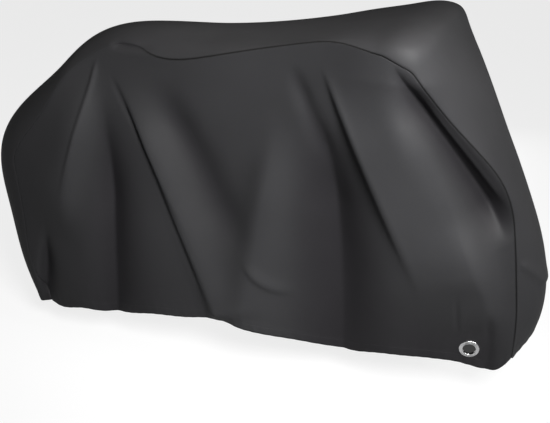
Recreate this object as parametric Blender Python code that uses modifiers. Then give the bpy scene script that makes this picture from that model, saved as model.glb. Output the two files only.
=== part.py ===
"""Fitted cloth cover for a bicycle, empty and standing in the shape the bicycle gives it.

One long spine panel runs from the rear hem, up over the saddle and the handlebar and down to the
front hem. A side panel is sewn to each edge of it. Low at the front of each side a strip of the
same cloth carries a metal eyelet that a lock's shackle passes through.

+X points to the front wheel, +Z up, and the rider's right-hand side is at -Y. Every table is
in metres from the rear axle (x) and the ground (z). The finished objects are shifted so that the
origin is the spot under the top where the saddle bears.
"""
import math

import bmesh
import bpy
import numpy as np
from mathutils import Matrix, Vector

# ------------------------------------------------------------------ sizes, metres
CLOTH = 0.0015            # thickness of the cloth, measured inwards from its face
SEAM_GAP = 0.0014         # between two panels, measured in the side view
SEAM_DIP = 0.0030         # how far the thread draws each seam in
SADDLE_X = 0.200          # where the saddle bears

UPPER_COLUMNS = 39        # along the hem and the top seam, behind the eyelet strip
STRIP_COLUMNS = 9         # the same, over the eyelet strip
STRIP_ROWS = 6            # up the front seam, along the eyelet strip
UPPER_ROWS = 11           # the same, above it
SEAM_STRIP = 0.006        # width of the last row of faces along a seam
STRIP_FROM = 0.835        # the strip's rear edge, as a share of the hem
STRIP_TO = 0.230          # the strip's top edge, as a share of the front seam
SPINE_SHARES = (0.0, 0.2, 0.4, 0.6, 0.8, 0.965, 1.0)      # from the middle of the spine to its seam

EYELET_X, EYELET_Z = 1.266, 0.221
EYELET_BORE = 0.0180      # radius of the opening
EYELET_BARREL = 0.0200    # radius of the barrel's outside
EYELET_FLANGE = 0.0290    # radius of the front flange
EYELET_WASHER = 0.0275    # radius of the ring behind the cloth
EYELET_CLEAR = 0.0003     # between the metal and the cloth
EYELET_STEPS = 28
FLAT_RADIUS = 0.036       # the cloth is flat this far from the eyelet's centre
CALM_RADIUS = 0.075       # and hangs freely from here on

# The cover from the side, along the middle of the spine panel, with the right-hand seam that
# belongs to each place. Across, the spine is an arc: "turn" is the angle in degrees that it has
# turned through at the seam, and "square" makes it round at 2 and boxy at 4.
# place, x, z, turn, square, seam x, seam z
PROFILE = [
    ("rear_hem",    -0.193, 0.104, 89, 2.0, -0.115, 0.122),
    ("rear_low",    -0.237, 0.231, 89, 2.0, -0.155, 0.258),
    ("rear_wheel",  -0.275, 0.433, 88, 2.0, -0.160, 0.440),
    ("rear_bulge",  -0.290, 0.588, 86, 2.0, -0.165, 0.572),
    ("rear_turn",   -0.255, 0.701, 84, 2.0, -0.162, 0.643),
    ("rear_slope",  -0.111, 0.848, 80, 2.0, -0.048, 0.784),
    ("saddle_back",  0.058, 0.989, 72, 2.0,  0.083, 0.940),
    ("saddle",       0.122, 1.034, 64, 2.0,  0.165, 0.990),
    ("saddle_nose",  0.330, 1.056, 60, 2.0,  0.349, 0.987),
    ("sag",          0.560, 1.066, 60, 2.0,  0.560, 1.013),
    ("stem_back",    0.780, 1.088, 64, 2.2,  0.804, 1.069),
    ("stem",         0.905, 1.105, 72, 2.6,  0.914, 1.082),
    ("bar",          1.001, 1.122, 80, 3.0,  0.996, 1.070),
    ("bar_front",    1.102, 1.131, 84, 4.0,  1.043, 1.056),
    ("bar_turn",     1.127, 1.118, 84, 4.0,  1.072, 1.042),
    ("bar_drop",     1.146, 1.080, 80, 3.6,  1.093, 1.028),
    ("front_high",   1.212, 0.982, 66, 2.4,  1.156, 0.938),
    ("front_mid",    1.335, 0.732, 60, 2.0,  1.306, 0.744),
    ("wheel_top",    1.412, 0.561, 60, 2.0,  1.350, 0.610),
    ("wheel_front",  1.449, 0.385, 62, 2.0,  1.372, 0.441),
    ("wheel_low",    1.432, 0.252, 66, 2.0,  1.383, 0.318),
    ("front_hem",    1.385, 0.160, 70, 2.0,  1.383, 0.214),
]
FRONT_LIFT = 0.100        # how much higher the front hem is in the middle than at the seams

# Half the cover's width, before the folds, at four heights.
HEIGHTS = (0.15, 0.45, 0.75, 1.00)
# x, half width at each height
WIDTHS = [
    (-0.32, 0.100, 0.115, 0.120, 0.100),
    (-0.05, 0.130, 0.145, 0.145, 0.115),
    ( 0.18, 0.165, 0.172, 0.152, 0.120),
    ( 0.45, 0.170, 0.175, 0.168, 0.158),
    ( 0.72, 0.172, 0.190, 0.205, 0.205),
    ( 0.92, 0.158, 0.200, 0.248, 0.275),
    ( 1.06, 0.168, 0.204, 0.256, 0.318),
    ( 1.20, 0.146, 0.170, 0.208, 0.275),
    ( 1.46, 0.100, 0.108, 0.130, 0.200),
]

# The hem between the two seams: x, z
HEM_RIGHT = [(-0.061, 0.119), (0.041, 0.141), (0.121, 0.135), (0.289, 0.176), (0.432, 0.195),
             (0.532, 0.213), (0.582, 0.211), (0.625, 0.205), (0.698, 0.193), (0.780, 0.172),
             (0.927, 0.139), (1.019, 0.171), (1.106, 0.177), (1.189, 0.175), (1.234, 0.171),
             (1.270, 0.163), (1.301, 0.158), (1.331, 0.159)]
HEM_LEFT = [(-0.050, 0.130), (0.050, 0.144), (0.160, 0.158), (0.270, 0.156), (0.420, 0.182),
            (0.560, 0.196), (0.700, 0.182), (0.840, 0.160), (0.980, 0.166), (1.100, 0.166),
            (1.190, 0.168), (1.250, 0.162), (1.300, 0.156), (1.341, 0.163)]

# Folds: ridges stand out and troughs fall in from the side, along a bent line through three
# places. Its spread is given to the front and to the rear of that line, where it starts and
# where it ends, then its height, the shares of its length over which it fades in and out, and
# its edge: 2 is a soft roll, and the nearer to 1 the sharper the crease.
# fold, x0, z0, x1, z1, x2, z2, front0, rear0, front1, rear1, height, fade in, fade out, edge
FOLDS_RIGHT = [
    ("rear_edge", 0.144, 0.953, 0.097, 0.776, -0.031, 0.375, 0.030, 0.060, 0.060, 0.120, 0.030, 0.40, 0.30, 2.0),
    ("rear_valley", 0.170, 0.876, 0.171, 0.578, 0.148, 0.168, 0.040, 0.034, 0.105, 0.056, -0.052, 0.50, 0.00, 1.4),
    ("saddle_crest", 0.204, 0.919, 0.345, 0.676, 0.539, 0.200, 0.045, 0.010, 0.085, 0.030, 0.024, 0.30, 0.05, 1.7),
    ("middle_trough", 0.315, 0.924, 0.472, 0.708, 0.604, 0.415, 0.046, 0.044, 0.065, 0.070, -0.018, 0.30, 0.30, 2.0),
    ("middle_valley", 0.838, 0.919, 0.884, 0.661, 0.898, 0.184, 0.040, 0.100, 0.130, 0.115, -0.063, 0.40, 0.00, 1.4),
    ("middle_ridge", 0.741, 0.887, 0.677, 0.576, 0.611, 0.187, 0.060, 0.040, 0.150, 0.070, 0.030, 0.40, 0.00, 2.0),
    ("bar_ridge", 1.031, 1.013, 1.169, 0.734, 1.307, 0.361, 0.040, 0.060, 0.040, 0.180, 0.038, 0.30, 0.20, 1.8),
    ("bar_heel", 1.218, 0.675, 1.282, 0.468, 1.310, 0.264, 0.030, 0.110, 0.036, 0.130, 0.024, 0.40, 0.30, 1.8),
    ("stem_crest", 0.857, 1.019, 0.959, 0.835, 1.178, 0.334, 0.060, 0.010, 0.090, 0.050, 0.022, 0.30, 0.50, 1.7),
    ("stem_trough", 0.752, 1.014, 0.818, 0.905, 0.882, 0.731, 0.020, 0.024, 0.030, 0.034, -0.009, 0.30, 0.35, 2.0),
    ("bar_trough", 1.053, 1.048, 1.167, 0.847, 1.349, 0.558, 0.018, 0.050, 0.044, 0.060, -0.046, 0.25, 0.25, 1.8),
    ("low_tuck", 1.002, 0.164, 1.193, 0.167, 1.382, 0.178, 0.130, 0.100, 0.160, 0.100, -0.022, 0.40, 0.30, 1.8),
    ("corner_fold", 1.304, 0.367, 1.315, 0.291, 1.317, 0.178, 0.010, 0.010, 0.014, 0.012, -0.006, 0.40, 0.00, 2.0),
    ("rear_notch", -0.063, 0.432, -0.105, 0.301, -0.137, 0.135, 0.016, 0.010, 0.070, 0.016, -0.030, 0.60, 0.00, 1.6),
]
FOLDS_LEFT = [
    ("rear_edge", 0.138, 0.955, 0.088, 0.772, -0.034, 0.372, 0.030, 0.060, 0.060, 0.110, 0.026, 0.40, 0.30, 2.0),
    ("rear_valley", 0.160, 0.880, 0.152, 0.580, 0.120, 0.170, 0.040, 0.034, 0.095, 0.050, -0.044, 0.50, 0.00, 1.4),
    ("saddle_crest", 0.214, 0.915, 0.338, 0.670, 0.500, 0.200, 0.045, 0.012, 0.080, 0.032, 0.022, 0.30, 0.05, 1.7),
    ("middle_trough", 0.330, 0.930, 0.470, 0.700, 0.620, 0.380, 0.046, 0.044, 0.060, 0.064, -0.022, 0.30, 0.30, 2.0),
    ("middle_valley", 0.830, 0.930, 0.868, 0.660, 0.872, 0.190, 0.040, 0.100, 0.120, 0.100, -0.052, 0.40, 0.00, 1.4),
    ("middle_ridge", 0.700, 0.900, 0.660, 0.560, 0.600, 0.200, 0.060, 0.040, 0.130, 0.070, 0.026, 0.40, 0.00, 2.0),
    ("bar_ridge", 1.030, 1.000, 1.150, 0.720, 1.280, 0.340, 0.040, 0.060, 0.040, 0.160, 0.030, 0.30, 0.10, 1.8),
    ("stem_crest", 0.865, 1.020, 0.970, 0.800, 1.150, 0.340, 0.060, 0.012, 0.100, 0.050, 0.018, 0.30, 0.25, 1.7),
    ("bar_trough", 1.060, 1.040, 1.175, 0.840, 1.345, 0.550, 0.018, 0.045, 0.040, 0.055, -0.038, 0.25, 0.25, 1.8),
    ("low_tuck", 1.000, 0.160, 1.190, 0.164, 1.380, 0.182, 0.120, 0.100, 0.150, 0.100, -0.028, 0.40, 0.30, 1.8),
    ("corner_fold", 1.304, 0.360, 1.318, 0.280, 1.318, 0.180, 0.012, 0.012, 0.016, 0.014, -0.007, 0.40, 0.00, 2.0),
    ("rear_notch", -0.060, 0.430, -0.098, 0.300, -0.126, 0.135, 0.016, 0.012, 0.060, 0.018, -0.024, 0.60, 0.00, 1.6),
]
SIDES = {"right": (-1, HEM_RIGHT, FOLDS_RIGHT), "left": (1, HEM_LEFT, FOLDS_LEFT)}


# ------------------------------------------------------------------ smooth curves
def spline_weights(knots, at):
    """The share of each knot's value in a natural cubic spline, a row for each place."""
    knots = np.asarray(knots, float)
    count, step = len(knots), np.diff(knots)
    left, right = np.eye(count), np.zeros((count, count))
    for i in range(1, count - 1):
        a, b = step[i - 1], step[i]
        left[i, i - 1:i + 2] = a, 2 * (a + b), b
        right[i, i - 1:i + 2] = 6 / a, -6 / a - 6 / b, 6 / b
    bend = np.linalg.solve(left, right)
    at = np.clip(np.asarray(at, float), knots[0], knots[-1])
    i = np.clip(np.searchsorted(knots, at) - 1, 0, count - 2)
    t = (at - knots[i]) / step[i]
    u, one, h = 1 - t, np.eye(count), step[i] ** 2 / 6
    return (u[:, None] * one[i] + t[:, None] * one[i + 1]
            + ((u ** 3 - u) * h)[:, None] * bend[i] + ((t ** 3 - t) * h)[:, None] * bend[i + 1])


def smooth(knots, values, at):
    return spline_weights(knots, at) @ np.asarray(values, float)


def run_length(points):
    return np.concatenate([[0.0], np.cumsum(np.linalg.norm(np.diff(points, axis=0), axis=1))])


def unit(vectors):
    return vectors / np.linalg.norm(vectors, axis=-1, keepdims=True)


def ramp(value):
    value = np.clip(value, 0.0, 1.0)
    return value * value * (3 - 2 * value)


# ------------------------------------------------------------------ the draped surface
KNOTS = run_length(np.array([row[1:3] for row in PROFILE]))
RUN = np.linspace(0.0, KNOTS[-1], 1200)
LINE = smooth(KNOTS, [row[1:] for row in PROFILE], RUN)     # x, z, turn, square, seam x, seam z
PLACE = {row[0]: run for row, run in zip(PROFILE, KNOTS)}
REAR_TO = PLACE["saddle_back"] - 0.02                       # the side panel's upper rear corner
FRONT_FROM = PLACE["bar_turn"]                              # and its upper front corner
END = KNOTS[-1]
SADDLE_Z = float(np.interp(SADDLE_X, LINE[200:700, 0], LINE[200:700, 1]))
ORIGIN = np.array([SADDLE_X, 0.0, SADDLE_Z - CLOTH])


def on_line(run):
    """x, z, turn, square, seam x and seam z at a distance along the middle of the spine."""
    return np.stack([np.interp(run, RUN, LINE[:, k]) for k in range(6)], axis=-1)


def fold_height(x, z, folds):
    spots, total = np.stack([x, z], axis=1), np.zeros(len(x))
    t = np.linspace(0.0, 1.0, 41)[:, None]
    for (fold, x0, z0, x1, z1, x2, z2, front0, rear0, front1, rear1,
         height, fade_in, fade_out, edge) in folds:
        start, middle, end = np.array((x0, z0)), np.array((x1, z1)), np.array((x2, z2))
        pull = 2 * middle - (start + end) / 2
        line = (1 - t) ** 2 * start + 2 * t * (1 - t) * pull + t ** 2 * end
        run, along = run_length(line), unit(np.gradient(line, axis=0))
        near = ((spots[:, None] - line[None]) ** 2).sum(-1).argmin(axis=1)
        off = spots - line[near]
        share = (run[near] + (off * along[near]).sum(1)) / run[-1]
        across = along[near, 0] * off[:, 1] - along[near, 1] * off[:, 0]
        part = np.clip(share, 0.0, 1.0)
        spread = np.where(across > 0, front0 + (front1 - front0) * part, rear0 + (rear1 - rear0) * part)
        fade = ramp(share / fade_in) if fade_in else 1.0
        fade = fade * (ramp((1 - share) / fade_out) if fade_out else 1.0)
        total += height * fade * np.exp(-np.abs(across / spread) ** edge)
    return total


def body_width(x, z):
    wide = np.array(WIDTHS)
    return (spline_weights(HEIGHTS, z) * smooth(wide[:, 0], wide[:, 1:], x)).sum(1)


def loose_width(x, z, folds):
    return body_width(x, z) + fold_height(x, z, folds)


def eyelet_plane(folds):
    """Half width at the eyelet, and its slope along x and z."""
    d = FLAT_RADIUS
    x = EYELET_X + np.array([0.0, d, -d, 0.0, 0.0])
    z = EYELET_Z + np.array([0.0, 0.0, 0.0, d, -d])
    w = loose_width(x, z, folds)
    return w.mean(), (w[1] - w[2]) / (2 * d), (w[3] - w[4]) / (2 * d)


def half_width(x, z, folds):
    """The cloth's distance from the middle plane, flat around the eyelet."""
    x, z = np.asarray(x, float), np.asarray(z, float)
    level, slope_x, slope_z = eyelet_plane(folds)
    dx, dz = x - EYELET_X, z - EYELET_Z
    hold = ramp((CALM_RADIUS - np.hypot(dx, dz)) / (CALM_RADIUS - FLAT_RADIUS))
    free = loose_width(x, z, folds)
    return free + (level + slope_x * dx + slope_z * dz - free) * hold


def shares(count, split, before, crowd_before, crowd_after, edges):
    """Shares from 0 to 1 with a line at the split, closer together towards both ends, and one
    narrow step beside each end that is a seam. Edges gives those steps' widths."""
    start, end = edges
    low = split * np.linspace(0.0, 1.0, before + 1 - (start > 0)) ** crowd_before
    high = 1 - (1 - split) * np.linspace(1.0, 0.0, count - before) ** crowd_after
    return np.unique(np.concatenate([low, [start, 1 - end], high[1:]]))


HEM_SHARES = shares(UPPER_COLUMNS + STRIP_COLUMNS, STRIP_FROM, UPPER_COLUMNS, 1.2, 1.3,
                    (SEAM_STRIP / 1.62, SEAM_STRIP / 1.62))
SEAM_SHARES = shares(STRIP_ROWS + UPPER_ROWS, STRIP_TO, STRIP_ROWS, 1.0, 1.6,
                     (0.0, SEAM_STRIP / 0.92))


def seam_edge(run, shift=0.0):
    """The seam at a distance along the spine, moved towards the side panel."""
    line = on_line(run)
    return line[:, 4:6] + unit(line[:, 4:6] - line[:, :2]) * shift


def panel_spots(side, u, v):
    """Side view places for shares u along the hem and v up the seams."""
    sign, hem, folds = SIDES[side]
    half = SEAM_GAP / 2
    rear, front = seam_edge(REAR_TO * v, half), seam_edge(END + (FRONT_FROM - END) * v, half)
    top = seam_edge(REAR_TO + (FRONT_FROM - REAR_TO) * u, half)
    points = np.vstack([seam_edge(np.zeros(1), half), hem, seam_edge(np.full(1, END), half)])
    run = run_length(points)
    low = smooth(run, points, run[-1] * u)
    corners = [seam_edge(np.full(1, run_at), half)[0] for run_at in (0.0, END, REAR_TO, FRONT_FROM)]
    u, v = u[:, None], v[:, None]
    return ((1 - u) * rear + u * front + (1 - v) * low + v * top
            - (1 - u) * (1 - v) * corners[0] - u * (1 - v) * corners[1]
            - (1 - u) * v * corners[2] - u * v * corners[3])


def on_cloth(side, spots, dip=0.0):
    """Places in the side view, brought out onto the cloth and into the object's frame."""
    sign, hem, folds = SIDES[side]
    wide = half_width(spots[:, 0], spots[:, 1], folds) - dip
    return np.stack([spots[:, 0], sign * wide, spots[:, 1]], axis=1) - ORIGIN


# ------------------------------------------------------------------ Blender objects
def clear_scene():
    for item in list(bpy.data.objects):
        bpy.data.objects.remove(item, do_unlink=True)


def material(name, color, roughness, metallic):
    made = bpy.data.materials.new(name)
    made.use_nodes = True
    shader = made.node_tree.nodes["Principled BSDF"]
    shader.inputs["Base Color"].default_value = (*color, 1.0)
    shader.inputs["Roughness"].default_value = roughness
    shader.inputs["Metallic"].default_value = metallic
    return made


def cloth_grid(name, columns, rows, place, group, turned=False, cut=None, closed=False):
    """A grid moved onto the cloth, thickened inwards. place(i, j) gives every crossing."""
    grid = bmesh.new()
    bmesh.ops.create_grid(grid, x_segments=columns, y_segments=rows, size=0.5)
    i = np.array([round((v.co.x + 0.5) * columns) for v in grid.verts])
    j = np.array([round((v.co.y + 0.5) * rows) for v in grid.verts])
    for vert, spot in zip(grid.verts, place(i, j)):
        vert.co = spot
    if cut:
        grid.verts.ensure_lookup_table()
        away = [f for f in grid.faces
                if all(i[v.index] >= cut[0] and j[v.index] <= cut[1] for v in f.verts)]
        bmesh.ops.delete(grid, geom=away, context="FACES")
    if closed:
        bmesh.ops.remove_doubles(grid, verts=grid.verts, dist=0.00001)
    if turned:
        bmesh.ops.reverse_faces(grid, faces=grid.faces)
    mesh = bpy.data.meshes.new(name)
    grid.to_mesh(mesh)
    grid.free()
    mesh.shade_smooth()
    made = bpy.data.objects.new(name, mesh)
    group.objects.link(made)
    made.data.materials.append(material(name, (0.022, 0.022, 0.024), 0.55, 0.0))
    shell = made.modifiers.new("thickness", "SOLIDIFY")
    shell.thickness = CLOTH
    shell.offset = -1.0
    shell.use_quality_normals = True
    return made


def side_panel(side, group):
    """One side of the cover, with its lower front corner left to the eyelet strip."""
    def place(i, j):
        uu, vv = HEM_SHARES[i], SEAM_SHARES[j]
        by_strip = (i >= UPPER_COLUMNS) & (j <= STRIP_ROWS)
        uu = np.where(by_strip & (i == UPPER_COLUMNS), uu - SEAM_GAP / 2 / 1.55, uu)
        vv = np.where(by_strip & (j == STRIP_ROWS), vv + SEAM_GAP / 2 / 0.95, vv)
        on_seam = (i == 0) | (i == UPPER_COLUMNS + STRIP_COLUMNS) | (j == STRIP_ROWS + UPPER_ROWS)
        return on_cloth(side, panel_spots(side, uu, vv), SEAM_DIP * on_seam)

    return cloth_grid("side_panel_" + side, UPPER_COLUMNS + STRIP_COLUMNS, STRIP_ROWS + UPPER_ROWS,
                      place, group, turned=side == "left", cut=(UPPER_COLUMNS, STRIP_ROWS))


def eyelet_strip(side, group):
    """The lower front corner of a side, with the hole that the eyelet grips."""
    u, v = HEM_SHARES[UPPER_COLUMNS:].copy(), SEAM_SHARES[:STRIP_ROWS + 1].copy()
    u[0] += SEAM_GAP / 2 / 1.55
    v[-1] -= SEAM_GAP / 2 / 0.95
    edge = np.array([(a, v[0]) for a in u[:-1]] + [(u[-1], b) for b in v[:-1]]
                    + [(a, v[-1]) for a in u[:0:-1]] + [(u[0], b) for b in v[:0:-1]])
    rim = panel_spots(side, edge[:, 0], edge[:, 1])
    centre = np.array((EYELET_X, EYELET_Z))
    around = len(rim)
    hole = (EYELET_BARREL + EYELET_CLEAR) / math.cos(math.pi / around)
    rings = [hole, 0.028, FLAT_RADIUS, 0.045, 0.055]        # then outwards to the rim
    outer = (0.34, 0.70, 0.92, 1.0)
    angle = np.unwrap(np.arctan2(*(rim - centre).T[::-1]))
    even = angle.mean() + (np.arange(around) - (around - 1) / 2) * 2 * math.pi / around
    toward_hole = np.stack([np.cos(even), np.sin(even)], axis=1)

    def place(i, j):
        toward = toward_hole[i % around]
        radius = np.array(rings + [rings[-1]] * len(outer))[j][:, None]
        share = np.array([0.0] * len(rings) + list(outer))[j][:, None]
        spots = (centre + toward * radius) * (1 - share) + rim[i % around] * share
        on_seam = (share[:, 0] == 1.0) & (edge[i % around, 0] == 1.0)
        return on_cloth(side, spots, SEAM_DIP * on_seam)

    return cloth_grid("eyelet_strip_" + side, around, len(rings) + len(outer) - 1, place, group,
                      turned=side == "right", closed=True)


def spine_panel(group):
    """The long strip over the middle, from the rear hem over the top to the front hem."""
    run = np.concatenate([REAR_TO * SEAM_SHARES,
                          (REAR_TO + (FRONT_FROM - REAR_TO) * HEM_SHARES)[1:],
                          (END + (FRONT_FROM - END) * SEAM_SHARES)[::-1][1:]])

    spread = np.array([-t for t in SPINE_SHARES[:0:-1]] + list(SPINE_SHARES))

    def place(i, j):
        share = np.abs(spread[i])
        low = np.clip((run[j] - FRONT_FROM) / (END - FRONT_FROM), 0.0, 1.0)
        at = run[j] - FRONT_LIFT * low * np.cos(share * math.pi / 2) ** 2
        line = on_line(at)
        turn, power = np.radians(np.minimum(line[:, 2], 89.9)), 2 / line[:, 3]
        part = (1 - np.cos(turn * share) ** power) / (1 - np.cos(turn) ** power)
        seam = line[:, 4:6] - line[:, :2]
        deep = np.linalg.norm(seam, axis=1) - SEAM_GAP / 2
        x, z = (line[:, :2] + unit(seam) * (part * deep)[:, None]).T
        folds = np.where(spread[i] < 0, fold_height(x, z, FOLDS_RIGHT), fold_height(x, z, FOLDS_LEFT))
        wide = (body_width(x, z) + folds * share ** 3) * (np.sin(turn * share) / np.sin(turn)) ** power
        return np.stack([x, np.sign(spread[i]) * (wide - SEAM_DIP * (share == 1.0)), z], axis=1) - ORIGIN

    return cloth_grid("spine_panel", len(spread) - 1, len(run) - 1, place, group, turned=True)


def eyelet(side, group):
    """A turned metal eyelet: a rounded front flange, a barrel, and a ring behind the cloth."""
    sign, hem, folds = SIDES[side]
    level, slope_x, slope_z = eyelet_plane(folds)
    back = -CLOTH - EYELET_CLEAR
    profile = [(0.0238, 0.0040), (0.0268, 0.0034), (0.0284, 0.0020), (EYELET_FLANGE, EYELET_CLEAR),
               (EYELET_BARREL, EYELET_CLEAR), (EYELET_BARREL, back), (EYELET_WASHER, back),
               (EYELET_WASHER, back - 0.0008), (0.0262, back - 0.0014), (0.0188, back - 0.0014),
               (EYELET_BORE, back - 0.0006), (EYELET_BORE, 0.0012), (0.0192, 0.0028),
               (0.0211, 0.0038)]
    mesh = bpy.data.meshes.new("eyelet_" + side)
    mesh.from_pydata([(r, 0.0, h) for r, h in profile],
                     [(k, (k + 1) % len(profile)) for k in range(len(profile))], [])
    made = bpy.data.objects.new("eyelet_" + side, mesh)
    group.objects.link(made)
    made.data.materials.append(material("eyelet_" + side, (0.62, 0.62, 0.64), 0.18, 1.0))
    turned = made.modifiers.new("turning", "SCREW")
    turned.steps = turned.render_steps = EYELET_STEPS
    turned.use_merge_vertices = True
    turned.merge_threshold = 0.00001
    facing = Vector((-slope_x, sign, -slope_z)).normalized()
    centre = Vector((EYELET_X, sign * level, EYELET_Z)) - Vector(ORIGIN)
    made.matrix_world = (Matrix.Translation(centre)
                         @ facing.to_track_quat("Z", "X").to_matrix().to_4x4())
    return made


def build():
    clear_scene()
    group = bpy.data.collections.new("bicycle_cover")
    bpy.context.scene.collection.children.link(group)
    spine_panel(group)
    for side in SIDES:
        side_panel(side, group)
        eyelet_strip(side, group)
        eyelet(side, group)


build()
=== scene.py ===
# %% [markdown]
# # A fitted cloth cover, standing empty in the shape a bicycle gives it
# The cover is three pieces of coated black cloth: one long spine panel over the middle and a side
# panel sewn to each of its edges. A turned metal eyelet grips each side panel low at the front.
# Cloth like this could come from a simulation, but folds that have to lie in known places are
# easier to draw as named ridges and troughs on a smooth body, so that is the way chosen here.

# %% Load the frame
import math

import bmesh
import bpy
import numpy as np
from mathutils import Matrix, Vector


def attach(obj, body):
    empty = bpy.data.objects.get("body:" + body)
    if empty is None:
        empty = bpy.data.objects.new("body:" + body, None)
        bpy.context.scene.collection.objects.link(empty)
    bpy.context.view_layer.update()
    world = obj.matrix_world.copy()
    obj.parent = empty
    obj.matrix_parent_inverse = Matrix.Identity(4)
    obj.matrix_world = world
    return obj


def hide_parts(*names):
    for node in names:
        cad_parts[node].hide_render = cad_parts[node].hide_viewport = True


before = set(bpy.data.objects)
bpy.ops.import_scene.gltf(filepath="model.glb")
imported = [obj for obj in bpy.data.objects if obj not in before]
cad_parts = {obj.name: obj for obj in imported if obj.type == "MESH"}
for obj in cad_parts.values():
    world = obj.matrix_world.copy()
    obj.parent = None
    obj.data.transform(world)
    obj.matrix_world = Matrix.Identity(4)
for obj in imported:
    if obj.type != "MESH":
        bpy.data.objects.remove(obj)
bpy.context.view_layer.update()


def in_scene(name, data):
    """A new object with this data."""
    made = bpy.data.objects.new(name, data)
    bpy.context.scene.collection.objects.link(made)
    return made


# %% [markdown]
# ## The camera
# A long lens keeps the sides nearly parallel. Its place is measured from the rear axle's spot on
# the ground, like every table below, and then moved into the frame, whose origin is under the
# top of the cover where the saddle bears.

# %% Place the camera
CLOTH = 0.0015  # thickness of the cloth
ORIGIN = np.array([0.200, 0.0, 1.05382])
EYE = np.array([1.417, -2.223, 1.472]) - ORIGIN
LOOK_AZIMUTH, LOOK_DOWN = math.radians(19.073), math.radians(22.285)
SENSOR = 36  # width of the camera's sensor in mm
LENS = 840.593 * SENSOR / 550  # from pixels, across a view of 550

lens = bpy.data.cameras.new("camera")
lens.lens, lens.sensor_width = LENS, SENSOR
camera = in_scene("camera", lens)
camera.location = EYE
camera.rotation_euler = (math.pi / 2 - LOOK_DOWN, 0, LOOK_AZIMUTH)
bpy.context.scene.camera = camera
print("camera at", np.round(EYE, 3), "lens %.1f mm" % LENS)

# %% [markdown]
# ## The cover from the side
# The middle line of the spine panel is what the bicycle pushes the cloth out to: the rear wheel,
# the saddle, a slack run to the handlebar, and the front wheel. Each place on it has a place on
# the right-hand seam. Between the two the spine is an arc: "turn" says through how many degrees,
# and "square" makes the arc round at 2 and boxy at 4, as over the ends of a handlebar.

# %% The middle line and its seam
# place, x, z, turn, square, seam x, seam z
PROFILE = [
    ("rear_hem",    -0.193, 0.104, 89, 2, -0.115, 0.122),
    ("rear_low",    -0.237, 0.231, 89, 2, -0.155, 0.258),
    ("rear_wheel",  -0.275, 0.433, 88, 2, -0.160, 0.440),
    ("rear_bulge",  -0.290, 0.588, 86, 2, -0.165, 0.572),
    ("rear_turn",   -0.255, 0.701, 84, 2, -0.162, 0.643),
    ("rear_slope",  -0.111, 0.848, 80, 2, -0.048, 0.784),
    ("rear_upper",  -0.020, 0.922, 77, 2,  0.012, 0.867),
    ("saddle_back",  0.064, 0.995, 72, 2,  0.083, 0.940),
    ("saddle",       0.120, 1.026, 64, 2,  0.165, 0.990),
    ("saddle_nose",  0.330, 1.059, 60, 2,  0.349, 0.987),
    ("sag",          0.560, 1.070, 60, 2,  0.560, 1.013),
    ("stem_back",    0.780, 1.092, 64, 2.2,  0.804, 1.069),
    ("stem",         0.905, 1.108, 72, 2.6,  0.914, 1.082),
    ("bar",          1.001, 1.123, 80, 3,  0.996, 1.070),
    ("bar_front",    1.102, 1.129, 84, 4,  1.043, 1.056),
    ("bar_turn",     1.134, 1.118, 84, 4,  1.072, 1.042),
    ("bar_drop",     1.160, 1.080, 80, 3.6,  1.093, 1.028),
    ("front_high",   1.219, 0.985, 66, 2.4,  1.156, 0.938),
    ("front_mid",    1.335, 0.732, 60, 2,  1.306, 0.744),
    ("wheel_top",    1.412, 0.561, 60, 2,  1.350, 0.610),
    ("wheel_front",  1.449, 0.385, 62, 2,  1.372, 0.441),
    ("wheel_low",    1.432, 0.252, 66, 2,  1.383, 0.318),
    ("front_hem",    1.385, 0.160, 70, 2,  1.383, 0.214),
]
FRONT_LIFT = 0.100  # the front hem is this much higher in the middle


def spline_weights(knots, at):
    """The share of each knot's value in a natural cubic spline, a row for each place."""
    knots = np.asarray(knots, float)
    count, step = len(knots), np.diff(knots)
    left, right = np.eye(count), np.zeros((count, count))
    for i in range(1, count - 1):
        a, b = step[i - 1], step[i]
        left[i, i - 1:i + 2] = a, 2 * (a + b), b
        right[i, i - 1:i + 2] = 6 / a, -6 / a - 6 / b, 6 / b
    bend = np.linalg.solve(left, right)
    at = np.clip(np.asarray(at, float), knots[0], knots[-1])
    i = np.clip(np.searchsorted(knots, at) - 1, 0, count - 2)
    t = (at - knots[i]) / step[i]
    u, one, h = 1 - t, np.eye(count), step[i] ** 2 / 6
    return (u[:, None] * one[i] + t[:, None] * one[i + 1]
            + ((u ** 3 - u) * h)[:, None] * bend[i] + ((t ** 3 - t) * h)[:, None] * bend[i + 1])


def smooth(knots, values, at):
    return spline_weights(knots, at) @ np.asarray(values, float)


def run_length(points):
    return np.concatenate([[0.0], np.cumsum(np.linalg.norm(np.diff(points, axis=0), axis=1))])


KNOTS = run_length(np.array([row[1:3] for row in PROFILE]))
RUN = np.linspace(0.0, KNOTS[-1], 1200)
LINE = smooth(KNOTS, [row[1:] for row in PROFILE], RUN)
PLACE = {row[0]: run for row, run in zip(PROFILE, KNOTS)}
# Runs of a side panel's two upper corners, and of the spine's end.
REAR_TO, FRONT_FROM, END = PLACE["saddle_back"] - 0.02, PLACE["bar_turn"], KNOTS[-1]


def on_line(run):
    """x, z, turn, square, seam x and seam z at a distance along the middle of the spine."""
    return np.stack([np.interp(run, RUN, LINE[:, k]) for k in range(6)], axis=-1)


print("the spine panel is %.2f m long over the top" % END)

# %% [markdown]
# ## How wide the cloth stands
# A table of half widths gives the smooth body: narrow over the wheels and the saddle, wide over
# the handlebar. The bicycle inside is not drawn, only the room that it takes.

# %% The smooth body
HEIGHTS = (0.15, 0.45, 0.75, 1.00)
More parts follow.
